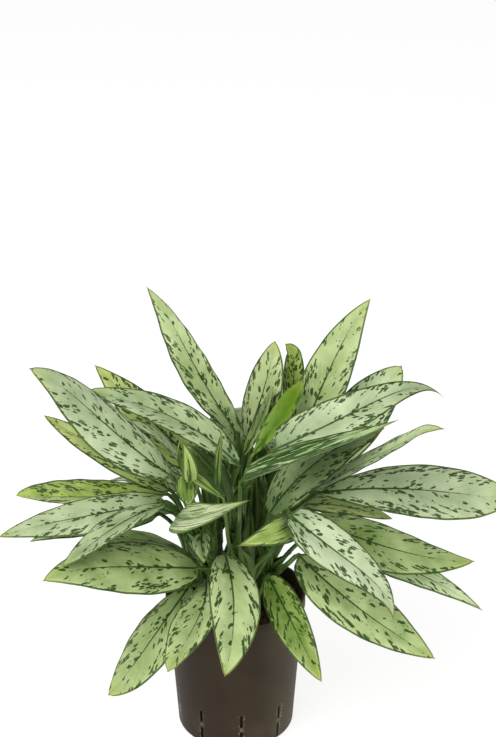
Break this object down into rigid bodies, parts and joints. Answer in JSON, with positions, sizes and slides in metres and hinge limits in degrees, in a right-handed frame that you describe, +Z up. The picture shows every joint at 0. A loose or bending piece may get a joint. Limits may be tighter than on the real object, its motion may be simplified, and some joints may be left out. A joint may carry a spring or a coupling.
{
  "type": "potted plant",
  "caption": "Potted Chinese evergreen: pale silvery leaves on green petioles and canes, in a slotted dark brown hydroculture pot filled with clay granulate.",
  "frame": {"origin": "centre of the pot's flat base", "axes": "+Z up out of the pot, +X to the right of the side seen in the picture, -Y towards its viewer"},
  "size_m": [0.6473, 0.5076, 0.6134],
  "materials": {
    "pot_plastic": "matte",
    "clay": "matte",
    "cane": "satin",
    "leaf": "satin"
  },
  "bodies": {
    "root": {"pot": "pot_plastic", "clay_granulate": "clay", "cane_left": "cane", "cane_left_front": "cane", "cane_middle": "cane", "cane_front": "cane", "cane_right": "cane", "cane_right_back": "cane", "cane_left_back": "cane", "leaf_01_top_left": "leaf", "leaf_02_left_up": "leaf", "leaf_03_left_back": "leaf", "leaf_04_left_over": "leaf", "leaf_05_left_mid": "leaf", "leaf_06_left_low": "leaf", "leaf_07_left_far": "leaf", "leaf_08_left_flat": "leaf", "leaf_09_left_under": "leaf", "leaf_10_left_turned": "leaf", "leaf_11_low_left": "leaf", "leaf_12_low_left_back": "leaf", "leaf_13_lower_left": "leaf", "leaf_14_lower_left_in": "leaf", "leaf_15_front": "leaf", "leaf_16_front_right": "leaf", "leaf_17_lower_right": "leaf", "leaf_18_right_arched": "leaf", "leaf_19_right_mid": "leaf", "leaf_20_right_between": "leaf", "leaf_21_right_far": "leaf", "leaf_22_right_pale": "leaf", "leaf_23_top_mid": "leaf", "leaf_24_rolled": "leaf", "leaf_25_top_narrow": "leaf", "leaf_26_top_small": "leaf", "leaf_27_top_right": "leaf", "leaf_28_right_up": "leaf", "leaf_29_right_back": "leaf", "leaf_30_right_shade": "leaf", "leaf_31_right_edge": "leaf", "leaf_32_right_slim": "leaf", "leaf_33_small_left": "leaf", "leaf_34_small_hanging": "leaf", "leaf_35_small_dark": "leaf", "leaf_36_rolled_thin": "leaf", "leaf_37_pale_hanging": "leaf", "leaf_38_small_front": "leaf", "leaf_39_arched_right": "leaf", "leaf_40_back_left_low": "leaf", "leaf_41_back_left": "leaf", "leaf_42_back_right_low": "leaf", "leaf_43_back_right": "leaf", "leaf_44_back_left_side": "leaf", "leaf_45_back_right_side": "leaf", "leaf_46_back_middle": "leaf", "leaf_47_back_low": "leaf", "leaf_48_back_upper_left": "leaf", "leaf_49_back_upper_right": "leaf", "leaf_50_back_upper_mid": "leaf"}
  },
  "joints": []
}
